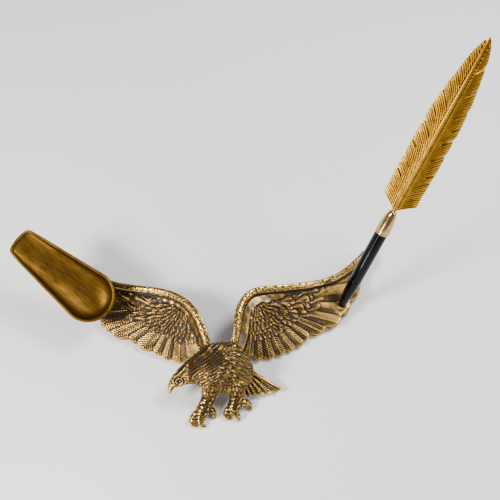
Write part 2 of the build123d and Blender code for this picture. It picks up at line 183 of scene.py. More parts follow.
def path_distance(a, b, path):
    """Distance in the plane from points (a, b) to a polyline."""
    nearest = np.full(len(a), 1e9)
    for p, q in zip(path, path[1:]):
        nearest = np.minimum(nearest, segment_distance(a, b, p, q)[0])
    return nearest


def smooth_path(points, steps=8):
    """A Catmull-Rom curve through the points."""
    points = np.array(points, dtype=float)
    padded = np.vstack([2 * points[0] - points[1], points, 2 * points[-1] - points[-2]])
    t = np.linspace(0, 1, steps, endpoint=False)[:, None]
    rows = []
    for p0, p1, p2, p3 in zip(padded, padded[1:], padded[2:], padded[3:]):
        rows.append(0.5 * (2 * p1 + (p2 - p0) * t + (2 * p0 - 5 * p1 + 4 * p2 - p3) * t**2
                           + (3 * p1 - p0 - 3 * p2 + p3) * t**3))
    return np.vstack(rows + [points[-1:]])


def hashed(values, seed=0.0):
    """A repeatable value from 0 to 1 for each number."""
    return np.mod(np.abs(np.sin(np.asarray(values) * 12.9898 + seed * 78.233) * 43758.5453), 1.0)


def lumps(points, size, seed):
    """Smooth uneven noise from -1 to 1, with features of about this size."""
    rng = np.random.default_rng(seed)
    total = np.zeros(len(points))
    for _ in range(7):
        direction = rng.normal(size=3)
        direction *= 2 * pi / (size * np.linalg.norm(direction))
        total += np.sin(points @ direction + rng.uniform(0, 2 * pi))
    return total / 4.2


# ---- materials ----------------------------------------------------------------
def new_material(name, own=False):
    """A material with its node tree, its shader and its coordinates in metres.

    own takes the coordinates along the piece's own axes.
    """
    material = bpy.data.materials.new(name)
    material.use_nodes = True
    tree = material.node_tree
    if own:
        where = attribute(tree, "own", "Vector")
    else:
        where = tree.nodes.new("ShaderNodeTexCoord").outputs["Object"]
    return material, tree, tree.nodes["Principled BSDF"], where


def attribute(tree, name, output):
    """A value stored on the mesh's points."""
    node = tree.nodes.new("ShaderNodeAttribute")
    node.attribute_name = name
    return node.outputs[output]


def noise(tree, coordinates, per_metre, detail=4.0, stretch=(1, 1, 1)):
    """Noise with this many features in a metre, drawn out along an axis where stretch is small."""
    mapping = tree.nodes.new("ShaderNodeMapping")
    mapping.inputs["Scale"].default_value = stretch
    tree.links.new(coordinates, mapping.inputs["Vector"])
    texture = tree.nodes.new("ShaderNodeTexNoise")
    texture.inputs["Scale"].default_value = per_metre
    texture.inputs["Detail"].default_value = detail
    tree.links.new(mapping.outputs["Vector"], texture.inputs["Vector"])
    return texture.outputs["Fac"]


def ramp(tree, factor, stops):
    """A colour ramp from (position, colour or grey) stops."""
    node = tree.nodes.new("ShaderNodeValToRGB")
    elements = node.color_ramp.elements
    while len(elements) < len(stops):
        elements.new(0.5)
    for element, (position, colour) in zip(elements, stops):
        element.position = position
        element.color = (*colour, 1) if isinstance(colour, tuple) else (colour, colour, colour, 1)
    tree.links.new(factor, node.inputs["Fac"])
    return node.outputs["Color"]


def combine(tree, operation, a, b):
    """A maths node on two values, either of which may be a number."""
    node = tree.nodes.new("ShaderNodeMath")
    node.operation = operation
    for socket, value in zip(node.inputs, (a, b)):
        if isinstance(value, float):
            socket.default_value = value
        else:
            tree.links.new(value, socket)
    return node.outputs["Value"]


def unevenness(tree, coordinates, per_metre, amount, detail=4.0):
    """Noise around 0, this much from its darkest to its brightest."""
    centred = combine(tree, "SUBTRACT", noise(tree, coordinates, per_metre, detail), 0.5)
    return combine(tree, "MULTIPLY", centred, amount)


def bump(tree, shader, height, depth_mm, strength):
    """Fine surface texture of this depth."""
    node = tree.nodes.new("ShaderNodeBump")
    node.inputs["Distance"].default_value = depth_mm * MM
    node.inputs["Strength"].default_value = strength
    tree.links.new(height, node.inputs["Height"])
    tree.links.new(node.outputs["Normal"], shader.inputs["Normal"])


def aged_brass():
    """Cast brass with a dark patina in its hollows, rubbed bright on its high places, and a painted sheen in
    pale grey where one is added.
    """
    material, tree, shader, where = new_material("aged_brass")
    relief = attribute(tree, "relief", "Fac")
    blotches = unevenness(tree, where, 160.0, 0.34)
    grain = unevenness(tree, where, 1500.0, 0.30, 2.0)
    tone = combine(tree, "ADD", combine(tree, "ADD", relief, blotches), grain)
    # the last stop, pale grey, is a painted sheen; mostly the wings' bands reach it
    colour = ramp(tree, tone, ((0.34, (0.0008, 0.0005, 0.0003)), (0.48, (0.006, 0.0026, 0.0008)),
                               (0.58, (0.042, 0.019, 0.003)), (0.70, (0.150, 0.078, 0.011)),
                               (0.88, (0.48, 0.290, 0.066)), (0.99, (0.155, 0.135, 0.098))))
    tree.links.new(colour, shader.inputs["Base Color"])
    tree.links.new(ramp(tree, tone, ((0.36, 0.3), (0.60, 1.0))), shader.inputs["Metallic"])
    tree.links.new(ramp(tree, tone, ((0.34, 0.6), (0.80, 0.24))), shader.inputs["Roughness"])
    bump(tree, shader, noise(tree, where, 2200.0, 3.0), 0.06, 0.6)
    return material


def brushed_brass(name, dark, bright, rough, lines, depth_mm, stretch):
    """Satin metal with fine lines along one axis and a slow change of colour."""
    material, tree, shader, where = new_material(name, own=True)
    streaks = noise(tree, where, lines, 3.0, stretch)
    cloud = noise(tree, where, 45.0, 3.0)
    halves = (combine(tree, "MULTIPLY", value, 0.5) for value in (streaks, cloud))
    both = combine(tree, "ADD", *halves)
    tree.links.new(ramp(tree, both, ((0.32, dark), (0.68, bright))), shader.inputs["Base Color"])
    tree.links.new(ramp(tree, both, ((0.3, rough + 0.06), (0.7, rough - 0.05))), shader.inputs["Roughness"])
    shader.inputs["Metallic"].default_value = 1.0
    bump(tree, shader, streaks, depth_mm, 0.5)
    return material


def gilt_brass():
    """Warm gilding, browner between the barbs."""
    material, tree, shader, where = new_material("gilt_brass")
    relief = attribute(tree, "relief", "Fac")
    tone = combine(tree, "ADD", relief, unevenness(tree, where, 220.0, 0.35))
    colour = ramp(tree, tone, ((0.24, (0.020, 0.006, 0.001)), (0.42, (0.135, 0.052, 0.004)),
                               (0.58, (0.32, 0.148, 0.010)), (0.9, (0.68, 0.38, 0.048))))
    tree.links.new(colour, shader.inputs["Base Color"])
    tree.links.new(ramp(tree, tone, ((0.2, 0.44), (0.8, 0.24))), shader.inputs["Roughness"])
    shader.inputs["Metallic"].default_value = 1.0
    bump(tree, shader, noise(tree, where, 1800.0, 2.0), 0.03, 0.4)
    return material


def black_plastic():
    """Moulded gloss black, with the faint unevenness and hairline scratches of handling."""
    material, tree, shader, where = new_material("black_plastic", own=True)
    cloud = noise(tree, where, 60.0, 2.0)
    tree.links.new(ramp(tree, cloud, ((0.3, (0.0006, 0.0006, 0.0006)), (0.7, (0.002, 0.002, 0.002)))),
                   shader.inputs["Base Color"])
    scratches = noise(tree, where, 900.0, 2.0, (1, 1, 0.08))
    tree.links.new(ramp(tree, scratches, ((0.35, 0.07), (0.75, 0.17))), shader.inputs["Roughness"])
    shader.inputs["Specular IOR Level"].default_value = 0.12
    bump(tree, shader, cloud, 0.02, 0.3)
    return material


def turned_metal(name, dark, bright, rough, own=False):
    """Machined metal with fine turning marks."""
    material, tree, shader, where = new_material(name, own)
    marks = noise(tree, where, 1300.0, 2.0, (0.5, 0.5, 2.2))
    cloud = noise(tree, where, 180.0, 3.0)
    tree.links.new(ramp(tree, cloud, ((0.3, dark), (0.7, bright))), shader.inputs["Base Color"])
    tree.links.new(ramp(tree, marks, ((0.3, rough + 0.08), (0.7, rough - 0.06))), shader.inputs["Roughness"])
    shader.inputs["Metallic"].default_value = 1.0
    bump(tree, shader, marks, 0.02, 0.5)
    return material


AGED_BRASS = aged_brass()
SCOOP_BRASS = brushed_brass("scoop_brass", (0.040, 0.016, 0.0024), (0.19, 0.100, 0.015),
                            rough=0.50, lines=700.0, depth_mm=0.05, stretch=(0.05, 1, 1))
GILT_BRASS = gilt_brass()
POLISHED_BRASS = brushed_brass("polished_brass", (0.34, 0.175, 0.055), (0.62, 0.385, 0.170),
                               rough=0.15, lines=900.0, depth_mm=0.01, stretch=(0.4, 0.4, 1))
BLACK_PLASTIC = black_plastic()
SCREW_BRASS = turned_metal("screw_brass", (0.36, 0.27, 0.12), (0.58, 0.46, 0.24), 0.38)
SOCKET_BRASS = turned_metal("socket_brass", (0.30, 0.21, 0.08), (0.55, 0.42, 0.20), 0.34, own=True)
REFILL_METAL = turned_metal("refill_metal", (0.50, 0.50, 0.50), (0.66, 0.65, 0.63), 0.28)


# ---- feathers as relief -------------------------------------------------------
OVERLAP = 0.42


def tongue(along, across):
    """Height of one feather, 0 to 1: round-ended, crowned, with a quill down its middle.

    along runs from 0 at its root to 1 at its tip, across from -1 to 1 over its width.
    """
    crown = 1 - 0.55 * across**2
    quill = 0.30 * bell(across, 0.13)
    return (0.25 + 0.75 * along) * crown + quill


def barbs(along_mm, across_mm, pitch):
    """Slanting grooves that run from the quill to the edge."""
    return np.sin(2 * pi * (along_mm - 0.9 * np.abs(across_mm)) / pitch)


def scale_rows(p, q, length, width, hatch=0.0, flat=0.0):
    """Staggered rows of small round-ended feathers that point to +p, as heights 0 to 1.

    Each feather reaches OVERLAP of its length past its row. hatch adds fine ribs along it, and
    flat lowers the step at its tip.
    """
    best = np.zeros(len(p))
    row0 = np.floor(p / length)
    done = np.zeros(len(p), dtype=bool)
    for back in (1, 0):
        row = row0 - back
        shift = 0.5 * np.mod(row, 2) + 0.18 * (hashed(row, 3) - 0.5)
        cell = np.floor(q / width - shift)
        across = 2 * (q / width - shift - cell) - 1
        wobble = 0.16 * (hashed(row * 31.0 + cell, 1) - 0.5)
        tip = (row + 1 + OVERLAP + wobble - 0.62 * across**2) * length
        along = np.clip((p - row * length) / ((1 + OVERLAP) * length), 0, 1)
        height = tongue(along + flat * (0.7 - along), across)
        if hatch:
            height = height + hatch * np.sin(2 * pi * (q / width - shift) * 3.0)
        inside = (p < tip) & ~done
        best = np.where(inside, height, best)
        done |= inside
    return best


# ---- wings --------------------------------------------------------------------
# In millimetres from the chest, with x outwards on either wing.
LEADING = {  # middle of the rim, from the shoulder to the tip
    "left_wing": ((7, 12, 22), (11.5, 24, 27.5), (16, 34, 29.6), (24.5, 44.5, 29.3), (36, 52, 26.5),
                  (57, 58.8, 20.6), (78, 66, 14.6), (91, 74, 10.8), (102, 84, 8)),
    "right_wing": ((7.5, 12, 22), (11, 26, 28.2), (13.2, 40, 30), (20.5, 51, 29.2), (34, 56, 26.2),
                   (55, 60.8, 21), (78, 69.5, 15), (92, 81, 11), (104, 95, 8)),
}
NOTCHES = {  # between the lobes of the trailing edge, from the body to the tip
    "left_wing": ((12, 13), (23, 13.5), (33.5, 14), (40.5, 17), (47, 20.5), (58.5, 26), (64.5, 30),
                  (77.5, 34.5), (84.5, 43.5), (91, 52), (98.5, 67), (105, 81.5)),
    "right_wing": ((14, 13), (22, 14), (29, 15), (37, 16.6), (44.5, 19.5), (51, 22.6), (57, 27),
                   (61, 32.5), (73, 37), (84.5, 45.5), (90.5, 56), (98, 74), (107, 93)),
}
EDGE_Z = 5.0  # height of the trailing edge
BAND_WIDTH = {"left_wing": 3.4, "right_wing": 5.6}  # smooth band inside the wrist
BAND_SHEEN = {"left_wing": 0.55, "right_wing": 1.0}  # how strong a painted sheen, pale grey, is laid on the band
PIVOT = {"left_wing": (27.0, 51.0), "right_wing": (24.0, 53.0)}  # the feathers fan out from here
# rows of coverts from the quills inwards: where each row ends, as a share of the fan's reach,
# and how many feathers it has across the fan
COVERT_ROWS = ((0.70, 18), (0.61, 18), (0.525, 18), (0.44, 15), (0.36, 15), (0.285, 11), (0.21, 9), (0.14, 6))
COVERT_LENGTH = 0.15  # as a share of the fan's reach
QUILL_LIFT, COVERT_LIFT = 1.1, 1.45  # how far the long quills and the coverts stand up
RIM_WIDTH = 3.9


def facing(x, y, z):
    """Coordinates in the plane in which the wing's relief is laid out."""
    return x, y * sin(FACE_TILT) + z * cos(FACE_TILT)


def fan_relief(name, u, v):
    """Height of the feathers at points (u, v) of a wing."""
    pivot = PIVOT[name]
    notches = [facing(x, y, EDGE_Z) for x, y in NOTCHES[name]]
    notch_angle = np.unwrap([np.arctan2(b - pivot[1], a - pivot[0]) for a, b in notches])
    notch_reach = np.hypot(*np.transpose([np.subtract(n, pivot) for n in notches]))
    angle = np.arctan2(v - pivot[1], u - pivot[0])
    angle = np.where(angle > 1.2, angle - 2 * pi, angle)
    reach = np.hypot(u - pivot[0], v - pivot[1])
    edge = np.interp(angle, notch_angle, notch_reach)
    share = reach / edge

    # long quills, one for each lobe of the trailing edge
    lobe = np.clip(np.searchsorted(notch_angle, angle) - 1, 0, len(notches) - 2)
    low, high = notch_angle[lobe], notch_angle[lobe + 1]
    across = np.clip(2 * (angle - low) / (high - low) - 1, -1, 1)
    width = (high - low) * reach
    height = tongue(np.clip((share - 0.45) / 0.6, 0, 1), across) * QUILL_LIFT
    height += 0.13 * barbs(reach, across * width / 2, 1.7) + 0.25 * across

    # small coverts over them, in uneven overlapping rows
    spot = np.stack([u, v, 0 * u], axis=-1)
    first, last = notch_angle[0] - 0.3, notch_angle[-1] + 0.15
    fan = (angle - first) / (last - first) + 0.018 * lumps(spot, 11.0, 41)
    depth = share + 0.022 * lumps(spot, 8.0, 43)
    for index, (limit, count) in enumerate(COVERT_ROWS):
        stretch = fan * count + 0.5 * (index % 2)
        cell = np.floor(stretch)
        across = 2 * (stretch - cell) - 1
        own = hashed(cell + 17.0 * index, 2) - 0.5
        tip = limit + 0.045 * own - 0.085 * across**2
        along = np.clip((depth - limit + COVERT_LENGTH) / COVERT_LENGTH, 0, 1)
        width = reach * (last - first) / count
        feather = (along**1.3 * (1 - 0.6 * across**2) + 0.22 * bell(across, 0.16)) * COVERT_LIFT
        feather *= 1 + 0.5 * own
        feather += 0.10 * barbs(reach, across * width / 2, 1.2) + 0.35 * own * across
        height = np.where(depth < tip, feather, height)
    return height


def sculpt_wing(name):
    """A wing casting with its feathers, smooth inner band and rolled, pitted rim."""
    side = -1 if name == "left_wing" else 1
    obj = casting("relief_" + name, name, 0.30, 5)
    points, normals = points_of(obj), normals_of(obj)
    x, y, z = ((points - CHEST) * (side, 1, 1)).T
    u, v = facing(x, y, z)
    lead = smooth_path([facing(*p) for p in LEADING[name]])
    from_rim = path_distance(u, v, lead)
    height = fan_relief(name, u, v)

    # a smooth hollow band between the rim and the feathers, widest inside the wrist
    wrist = smoothstep(u, 60, 34) * smoothstep(v, 10, 24)
    band = RIM_WIDTH - 0.6 + BAND_WIDTH[name] * wrist
    ragged = band + 0.9 * lumps(points, 4.5, 4)
    inside = smoothstep(from_rim, ragged, ragged + 1.8)
    hollow = -0.35 * wrist + 0.10 * lumps(points, 5.0, 4)
    height = height * inside + (1 - inside) * hollow

    # the rim: one rounded bead, pitted on its outer side
    bead = smoothstep(from_rim, RIM_WIDTH, RIM_WIDTH - 1.2)
    pits = np.clip(lumps(points, 1.7, 7) + 0.5 * lumps(points, 0.9, 9) - 0.3, 0, 1)
    outer = smoothstep(from_rim, 3.0, 1.2)
    crest = 0.45 * bell(from_rim - 2.1, 1.0)
    height = height * (1 - bead) + bead * (0.10 + crest - 0.95 * pits * outer - 0.16 * pits)

    front = facing_share(normals)
    back = 0.12 * lumps(points, 3.0, 11)
    lift = height * front + back * (1 - front)
    lift *= smoothstep(points[:, 2], 0.4, 1.6)
    move_to(obj, points + normals * lift[:, None])
    # the smooth band inside the wrist gets a painted sheen, pushed to the pale grey top of the brass colours
    finish_casting(obj, name, (1 - inside) * (1 - bead) * wrist * front * BAND_SHEEN[name])


def facing_share(normals):
    """1 on the relief side of a casting, 0 on its back and its edges."""
    lean = FACE_LEAN
    return smoothstep(normals @ (0, -sin(lean), cos(lean)), 0.25, 0.65)


def finish_casting(obj, node, painted_sheen=None):
    """Patina, any painted sheen, material and place in the stand."""
    mark_relief(obj, painted_sheen=painted_sheen)
    obj.data.materials.append(AGED_BRASS)
    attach(obj, "stand")
    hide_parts(node)


# ---- body ---------------------------------------------------------------------
# Places on the head as seen, in millimetres: x, and upwards in the figure's own plane.
EYE = (-26.6, -6.6)
EYE_RINGS = ((0.0, 0.30), (1.15, -0.80), (2.15, 0.60), (3.1, -0.60), (3.9, 0.25))  # radius, height
BROW = ((-31.0, -4.2), (-27.4, -2.6), (-22.4, 2.4))
MOUTH = ((-32.4, -13.2), (-29.8, -10.6), (-27.6, -10.2))
NOSTRIL = (-31.9, -8.9)
CERE = (-30.6, -6.0)
NECK_SLOPE = radians(35.0)  # direction of the streaks
AXIS_X = (-31, -22, -13, 0, 10, 19)  # middle line of the figure: x, and its height
AXIS_UP = (-7.0, -2.2, -0.2, 0.2, 0.2, -3.2)
GIRTH_X, GIRTH = (-30, -20, -8, 8, 19), (5.5, 7.5, 13, 13.5, 8)  # its radius along x


def sculpt_body():
    """Head with beak and eye, streaked neck, scaled chest and back."""
    obj = casting("relief_body", "eagle_body", 0.24, 6)
    points, normals = points_of(obj), normals_of(obj)
    x, y, z = (points - CHEST).T
    z = z - CHEST_Z
    up = y * cos(RELIEF_TILT) + z * sin(RELIEF_TILT)
    out = -y * sin(RELIEF_TILT) + z * cos(RELIEF_TILT)
    middle = np.interp(x, AXIS_X, AXIS_UP)
    around = np.arctan2(up - middle, out + 2.0)
    girth = np.interp(x, GIRTH_X, GIRTH)

    drift = 0.9 * lumps(points, 9.0, 51)
    along, about = x + drift, around * girth + 0.8 * lumps(points, 7.0, 53)
    down_neck = cos(NECK_SLOPE) * x + sin(NECK_SLOPE) * up + drift
    over_neck = cos(NECK_SLOPE) * up - sin(NECK_SLOPE) * x + 0.5 * lumps(points, 7.0, 53)
    streaks = scale_rows(down_neck, over_neck, 10.0, 1.85, flat=0.75) * 1.05
    scales = scale_rows(along * 0.8 - 0.45 * (up - middle), about + 0.3 * x, 4.0, 3.2, 0.12) * 1.15
    small = scale_rows(along * 0.9 - 0.2 * up, about + 0.2 * x, 2.5, 2.0) * 0.75
    chest = smoothstep(x - 0.45 * up + drift, -4.0, 3.0)
    belly = smoothstep(up, -6.0, -10.0)
    height = streaks * (1 - chest) + scales * chest
    height = height * (1 - belly) + small * belly
    feathered = smoothstep(x, -24.5, -20.5)
    height *= feathered

    front = smoothstep(out, -1.0, 2.5)
    eye = np.hypot(x - EYE[0], up - EYE[1])
    rings = sum(depth * bell(eye - radius, 0.42) for radius, depth in EYE_RINGS)
    height += front * rings
    brow = path_distance(x, up, BROW)
    height += front * (0.50 * bell(brow, 0.5) - 0.25 * bell(brow - 1.2, 0.5))
    mouth = path_distance(x, up, MOUTH)
    height -= front * 0.75 * bell(mouth, 0.42)
    nostril = np.hypot(x - NOSTRIL[0], up - NOSTRIL[1])
    height -= front * 0.8 * bell(nostril, 0.55)
    cere = np.hypot(x - CERE[0], up - CERE[1])
    height += front * 0.45 * bell(cere, 1.5)
    crown = scale_rows(x + 0.8 * up, around * girth, 2.6, 1.1) * 0.22
    height += crown * (1 - feathered) * smoothstep(x, -30.5, -28.5) * smoothstep(eye, 2.6, 4.2)
    height += 0.05 * lumps(points, 1.2, 21)
    move_to(obj, points + normals * height[:, None])
    finish_casting(obj, "eagle_body")


# ---- legs and tail ------------------------------------------------------------
THIGH_END = 8.0  # the feathering ends this far down the leg


def sculpt_leg(name):
    """Feathered thigh, scaly shank and ringed toes with plain claws."""
    obj = casting("relief_" + name, name, 0.20, 4)
    points, normals = points_of(obj), normals_of(obj)
    x, y, z = (points - CHEST).T
    down = -y * 0.86 - z * 0.5
    around = np.arctan2(x - x.mean(), z * 0.86 - y * 0.5) * 5.0
    thigh = scale_rows(down + 0.5 * lumps(points, 5.0, 33), around + x, 3.6, 2.6) * 0.95
    rings = np.abs(np.sin(pi * (down + 0.5 * lumps(points, 4.0, 35)) / 2.4)) ** 0.5
    scutes = 0.34 * rings * smoothstep(z, 2.2, 3.4) + 0.16 * lumps(points, 2.6, 37)
    feathered = smoothstep(down, THIGH_END - 1.0, THIGH_END + 0.5)
    height = thigh * (1 - feathered) + scutes * feathered
    height += 0.06 * lumps(points, 1.4, 31)
    height *= smoothstep(z, 0.15, 0.8)
    move_to(obj, points + normals * height[:, None])
    finish_casting(obj, name)


TAIL_ROOT = (12.0, 4.0, 15.5)  # the fan's three corners, from the chest
TAIL_LONG_TIP = (40.4, -9.0, 5.0)
TAIL_SHORT_TIP = (14.5, -14.4, 5.0)
TAIL_FEATHERS = 6


def sculpt_tail():
    """A hollow-faced fan with a ridge along its long edge and ribs that spread from the root."""
    obj = casting("relief_tail", "tail_fan", 0.20, 3)
    points, normals = points_of(obj), normals_of(obj)
    along = np.subtract(TAIL_LONG_TIP, TAIL_ROOT)
    along = along / np.linalg.norm(along)
    short = np.subtract(TAIL_SHORT_TIP, TAIL_ROOT)
    normal = np.cross(along, short)
    normal /= np.linalg.norm(normal) * np.sign(normal[2])
    across = np.cross(normal, along)
    local = points - (CHEST + TAIL_ROOT)
    a, b = local @ along, local @ across
    last = np.arctan2(short @ across, short @ along)
    share = np.arctan2(b, a) / last * TAIL_FEATHERS
    cell = np.floor(share)
    rib = 2 * (share - cell) - 1
    reach = np.hypot(a, b)
    height = 0.75 * np.sqrt(np.clip(1 - rib**2, 0, 1)) + 0.3 * bell(rib, 0.16)
    height += 0.10 * barbs(reach, rib * reach * abs(last) / TAIL_FEATHERS / 2, 1.4)
    height *= smoothstep(reach, 4.0, 9.0)
    ridge = bell(share - 0.12, 0.22)
    hollow = 0.55 * smoothstep(share, 0.3, 0.8) * smoothstep(reach, 22, 12)
    height = height * (1 - ridge) + 1.2 * ridge - hollow
    top = smoothstep(normals @ normal, 0.3, 0.8)
    move_to(obj, points + normals * (height * top)[:, None])
    finish_casting(obj, "tail_fan")


# ---- scoop --------------------------------------------------------------------
SCOOP_BASE = (-76.0, 36.5, 29.0)  # the rim's middle at the round end
SCOOP_LENGTH, SCOOP_WIDEST = 80.5, 18.0  # whole length, and how far along it is widest
SCOOP_HALF, SCOOP_DEPTH = 18.2, 15.4  # half width and depth where it is widest
TIP_HALF, TIP_DEPTH = 10.2, 3.4  # and at the tip, before it is rounded off
SCOOP_WALL = 1.8
TIP_RADIUS, TIP_RUN = 30.0, 14.0  # the tip's arc, and how far back from the tip it acts
BOWL_BLEND = 6.0  # the floor bends up from the bowl over about this length
FLATNESS = 0.78  # below 1 the trough's floor is flatter and its sides steeper
SCOOP_HEADING, SCOOP_RISE, SCOOP_ROLL = radians(145.3), radians(17.6), radians(14.0)
PEDESTAL_AT, PEDESTAL_SEAT = (-89.0, 57.0), 11.0
# section of the pedestal: radius and height above its seat
PEDESTAL = ((0, 0), (5, 0), (5, 1.2), (4.6, 2.0), (4.6, 5.5), (4.9, 10), (0, 10))


def scoop_axes():
    """The scoop's length, width and upward directions."""
    h, r = SCOOP_HEADING, SCOOP_RISE
    along = np.array((cos(h) * cos(r), sin(h) * cos(r), sin(r)))
    upright = np.array((-cos(h) * sin(r), -sin(h) * sin(r), cos(r)))
    across = np.array((-sin(h), cos(h), 0))
    normal = upright * cos(SCOOP_ROLL) + across * sin(SCOOP_ROLL)
    return along, np.cross(normal, along), normal


def trough_profile(x, inset):
    """Half width and depth of the trough at distance x from its round end."""
    turn = np.clip((SCOOP_WIDEST - x) / (SCOOP_WIDEST - inset), 0, 1)
    full, deep = np.sqrt(1 - turn**2), (1 - turn**4.5) ** 0.42
    taper = np.clip((x - SCOOP_WIDEST) / (SCOOP_LENGTH - SCOOP_WIDEST), 0, 1)
    half = (SCOOP_HALF + (TIP_HALF - SCOOP_HALF) * taper - inset) * full
    beyond = x - SCOOP_WIDEST
    climb = max((beyond + np.hypot(beyond, BOWL_BLEND)) / 2 - BOWL_BLEND / 4, 0)
    rise = climb / (SCOOP_LENGTH - SCOOP_WIDEST)
    depth = (SCOOP_DEPTH + (TIP_DEPTH - SCOOP_DEPTH) * rise - inset) * deep
    # the tip is an arc that meets the sides in two rounded corners
    past = x - (SCOOP_LENGTH - inset - TIP_RADIUS)
    if x > SCOOP_LENGTH - inset - TIP_RUN:
        arc = np.sqrt(max(TIP_RADIUS**2 - past**2, 1e-4))
        rounded = (half**-5.0 + arc**-5.0) ** -0.2
        depth *= (rounded / half) ** 0.5
        half = rounded
    return max(half, 0.05), max(depth, 0.05)


def scoop_ring(x):
    """One closed section: hollow, lip, outside and the other lip."""
    to_end = max(1 - x / SCOOP_WIDEST, 0)
    to_tip = smoothstep(x, SCOOP_LENGTH - TIP_RUN, SCOOP_LENGTH)
    x_in = x + SCOOP_WALL * (to_end - to_tip)
    half_out, depth_out = trough_profile(x, 0.0)
    half_in, depth_in = trough_profile(x_in, SCOOP_WALL)
    depth_in = min(depth_in, depth_out - 0.04)
    around = np.linspace(0, pi, 72).clip(1e-6, pi - 1e-6)
    lip = np.linspace(0, pi, 9)[1:-1]
    middle, swell = (half_in + half_out) / 2, (half_out - half_in) / 2
    centre, lean = (x_in + x) / 2, (x_in - x) / 2
    ring = [(x_in, half_in * cos(t), -depth_in * sin(t) ** FLATNESS) for t in around]
    ring += [(centre + lean * cos(t), -middle + swell * cos(t), swell * sin(t)) for t in lip]
    ring += [(x, half_out * cos(t), -depth_out * sin(t) ** FLATNESS) for t in around[::-1]]
    ring += [(centre - lean * cos(t), middle + swell * cos(t), swell * sin(t)) for t in lip]
    return ring


def tube_faces(rings, count, close=False):
    """Quads between rings of points, with the two ends capped unless the tube closes on itself."""
    faces = []
    for i in range(rings if close else rings - 1):
        a, b = i * count, ((i + 1) % rings) * count
        faces += [(a + j, a + (j + 1) % count, b + (j + 1) % count, b + j) for j in range(count)]
    if not close:
        faces.append(tuple(range(count))[::-1])
        faces.append(tuple(range((rings - 1) * count, rings * count)))
    return faces


def build_scoop():
    """Thin cast trough with a rounded lip, and the pedestal below it."""
    flat_end = SCOOP_LENGTH - TIP_RUN
    stations = np.concatenate([
        SCOOP_WIDEST * (1 - np.cos(np.linspace(0.02, pi / 2, 44))),
        np.linspace(SCOOP_WIDEST, flat_end, 70)[1:],
        flat_end + TIP_RUN * np.sin(np.linspace(0, pi / 2 - 0.01, 60))[1:],
    ])
    rings = np.array([scoop_ring(x) for x in stations])
    bowl = from_arrays("scoop_bowl", rings.reshape(-1, 3), tube_faces(len(rings), rings.shape[1]))
    place(bowl, scoop_axes(), CHEST + SCOOP_BASE)
    bowl.data.materials.append(SCOOP_BRASS)
    stem = lathe("scoop_pedestal", PEDESTAL, 0.3)
    place(stem, np.eye(3), CHEST + (*PEDESTAL_AT, PEDESTAL_SEAT))
    stem.data.materials.append(SCOOP_BRASS)
    for piece in (bowl, stem):
        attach(piece, "stand")
        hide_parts("scoop")


# ---- turned pieces on the pen's axis ------------------------------------------
def pen_axes():
    """Across the feather, through it, and along the pen."""
    across = np.cross(PEN_AXIS, (0.33, 0.836, -0.44))
    across *= np.sign(across[0]) / np.linalg.norm(across)
    return across, np.cross(PEN_AXIS, across), PEN_AXIS


def softened(outline, radius, steps=5):
    """A closed outline of (radius, height) points with its corners rounded."""
    outline = np.array(outline, dtype=float)
    result = []
    for before, here, after in zip(np.roll(outline, 1, 0), outline, np.roll(outline, -1, 0)):
        if here[0] == 0:
            result.append(here)
            continue
        sides = [before - here, after - here]
        start, end = [here + s * min(radius / np.linalg.norm(s), 0.45) for s in sides]
        for t in np.linspace(0, 1, steps):
            result.append((1 - t) ** 2 * start + 2 * t * (1 - t) * here + t**2 * end)
    return np.array(result)


def lathe(name, outline, radius, segments=96):
    """A turned piece with rounded corners from the outline of its section."""
    outline = softened(outline, radius)
    turn = np.linspace(0, 2 * pi, segments, endpoint=False)
    points = [(r * cos(t), r * sin(t), h) for r, h in outline for t in turn]
    return from_arrays(name, points, tube_faces(len(outline), segments, close=True))


# sections of the pen's pieces: radius, and height along the pen from FOOT
COLLAR = ((0, -8.4), (3.3, -8.4), (3.3, 0), (3.9, 0), (3.9, 0.7), (2.45, 0.7), (2.45, -7.6), (0, -7.6))
NOSE = ((0.7, -6.2), (1.3, -6.2), (2.4, -4.6), (2.4, 0.8), (3.2, 8.0), (3.88, 16.0), (4.36, 25.0),
        (4.36, 26.0), (3.05, 26.0), (3.05, 19.0), (1.25, 19.0), (1.25, -4.2), (0.7, -4.2))
BARREL = ((3.05, 26.1), (4.38, 26.1), (4.4, 40.0), (4.4, 69.5), (2.4, 69.5), (2.4, 33.3), (3.05, 33.3))
FERRULE = ((1.6, 69.5), (4.88, 69.5), (4.88, 70.6), (4.8, 70.9), (4.86, 72.4), (4.72, 75.6), (4.42, 79.0),
           (3.9, 82.2), (3.2, 85.2), (2.5, 87.2), (1.9, 88.0), (1.2, 88.0), (1.2, 80.0), (1.6, 78.5))
# name, section, radius of its edges, material, CAD node, body and slot
PEN_PIECES = (
    ("socket_collar", COLLAR, 0.18, SOCKET_BRASS, "pen_socket", "stand", "screw_brass"),
    ("pen_nose", NOSE, 0.22, BLACK_PLASTIC, "nose_section", "pen_front", "black_plastic"),
    ("pen_barrel", BARREL, 0.12, BLACK_PLASTIC, "barrel", "pen_barrel", "black_plastic"),
    ("pen_ferrule", FERRULE, 0.5, POLISHED_BRASS, "ferrule", "pen_barrel", "polished_brass"),
)


def build_pen():
    """Socket, nose, barrel and ferrule."""
    for name, section, radius, material, node, body, slot in PEN_PIECES:
        obj = place(lathe(name, section, radius), pen_axes(), FOOT)
        obj.data.materials.append(material)
        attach(obj, body)
        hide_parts(node)


# ---- feather ------------------------------------------------------------------
VANE_START, VANE_TIP = 88.0, 219.0
# section of the quill: radius and height along the pen
QUILL = ((0, 81), (1.2, 81), (1.2, 87.2), (1.9, 87.8), (1.6, 89.6), (1.3, 93), (1.0, 110), (0.8, 150),
         (0.6, 190), (0.35, 216), (0, 216))
